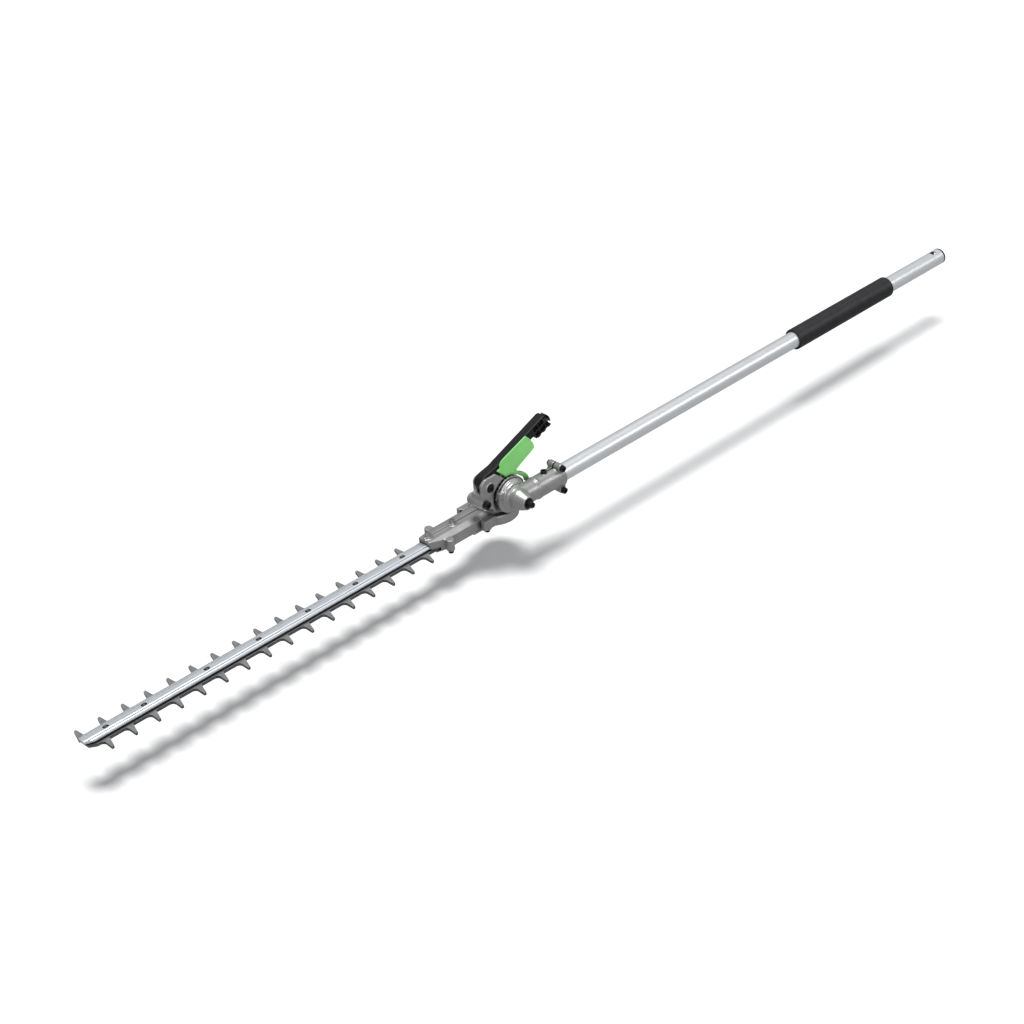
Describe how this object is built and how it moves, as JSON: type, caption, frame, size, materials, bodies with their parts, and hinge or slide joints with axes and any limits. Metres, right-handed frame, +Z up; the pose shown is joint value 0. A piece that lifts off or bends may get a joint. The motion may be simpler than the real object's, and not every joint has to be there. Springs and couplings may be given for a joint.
{
  "type": "hedge trimmer attachment",
  "caption": "Articulated double-sided hedge trimmer head on a tube for a split-shaft power head, with an angle lock lever and a foam grip.",
  "frame": {"origin": "centre of the pole's free end, where the power head's coupler slides on", "axes": "+X along the pole out of its free end, with the blades at -X; +Z up, away from the blades' underside; -Y is the side with the pivot's stub boss"},
  "size_m": [1.549, 0.111, 0.1288],
  "materials": {
    "tube_metal": "drawn, satin anodised",
    "cast_metal": "die cast, blasted",
    "bar_metal": "extruded, satin",
    "blade_steel": "ground",
    "gear_steel": "machined",
    "bearing_steel": "polished",
    "bright_screw": "zinc plated",
    "black_steel": "black oxide",
    "black_plastic": "satin moulded",
    "green_plastic": "satin moulded",
    "foam": "closed-cell foam",
    "seal_rubber": "moulded",
    "bushing_plastic": "moulded"
  },
  "bodies": {
    "root": {"pole_tube": "tube_metal", "pole_end_ring": "black_plastic", "foam_grip": "foam", "shaft_bushings": "bushing_plastic", "drive_bearings": "bearing_steel", "pole_gear_case": "cast_metal", "notch_quadrant": "cast_metal", "retaining_ring": "gear_steel", "quadrant_screws": "black_steel", "clamp_bolts": "black_steel", "locating_screw": "black_steel", "pivot_plug": "black_steel", "cross_bearing_near": "bearing_steel"},
    "drive": {"drive_shaft": "gear_steel", "drive_pinion": "gear_steel"},
    "cross": {"cross_shaft": "gear_steel", "cross_bevel_gear": "gear_steel", "cross_pinion": "gear_steel"},
    "head": {"head_gear_case": "cast_metal", "bottom_cover": "cast_metal", "bottom_cover_screws": "black_steel", "cross_bearing_far": "bearing_steel", "pivot_seal": "seal_rubber", "crank_bearing_lower": "bearing_steel", "crank_bearing_upper": "bearing_steel", "guide_bar": "bar_metal", "wear_rail": "black_steel", "bar_slot_liners": "black_plastic", "blade_bolts": "bright_screw", "blade_nuts": "black_steel", "bar_mount_screws": "bright_screw", "handle_arm": "black_plastic", "handle_bolts": "black_steel", "handle_nut": "black_steel", "trigger_pin": "gear_steel", "trigger_spring": "gear_steel"},
    "crank": {"crank_shaft": "gear_steel", "crown_gear": "gear_steel"},
    "upper_blade": {"upper_blade": "blade_steel", "upper_yoke": "gear_steel", "upper_yoke_rivets": "gear_steel"},
    "lower_blade": {"lower_blade": "blade_steel", "lower_yoke": "gear_steel", "lower_yoke_rivets": "gear_steel"},
    "trigger": {"lock_trigger": "green_plastic"}
  },
  "joints": [
    {"name": "head_pivot", "type": "hinge", "parent": "root", "child": "head", "pos_m": [-0.896, 0, 0], "axis": [0, 1, 0], "range_deg": [-81, 54]},
    {"name": "drive_spin", "type": "hinge", "parent": "root", "child": "drive", "pos_m": [-0.896, 0, 0], "axis": [1, 0, 0], "continuous": true},
    {"name": "cross_spin", "type": "hinge", "parent": "root", "child": "cross", "pos_m": [-0.896, 0, 0], "axis": [0, 1, 0], "continuous": true},
    {"name": "crank_spin", "type": "hinge", "parent": "head", "child": "crank", "pos_m": [-0.896, 0.049, 0], "axis": [0, 0, 1], "continuous": true},
    {"name": "upper_blade_slide", "type": "slide", "parent": "head", "child": "upper_blade", "axis": [1, 0, 0], "range_m": [-0.008, 0.008]},
    {"name": "lower_blade_slide", "type": "slide", "parent": "head", "child": "lower_blade", "axis": [1, 0, 0], "range_m": [-0.008, 0.008]},
    {"name": "lock_trigger", "type": "hinge", "parent": "head", "child": "trigger", "pos_m": [-0.916, 0, 0.0315], "axis": [0, 1, 0], "range_deg": [-5.5, 0], "stiffness_Nm_per_rad": 2, "springref_deg": 8.59}
  ],
  "couplings": [
    {"joint": "cross_spin", "follows": "drive_spin", "ratio": 1},
    {"joint": "crank_spin", "follows": "drive_spin", "ratio": -0.44444},
    {"joint": "lower_blade_slide", "follows": "upper_blade_slide", "ratio": -1}
  ]
}
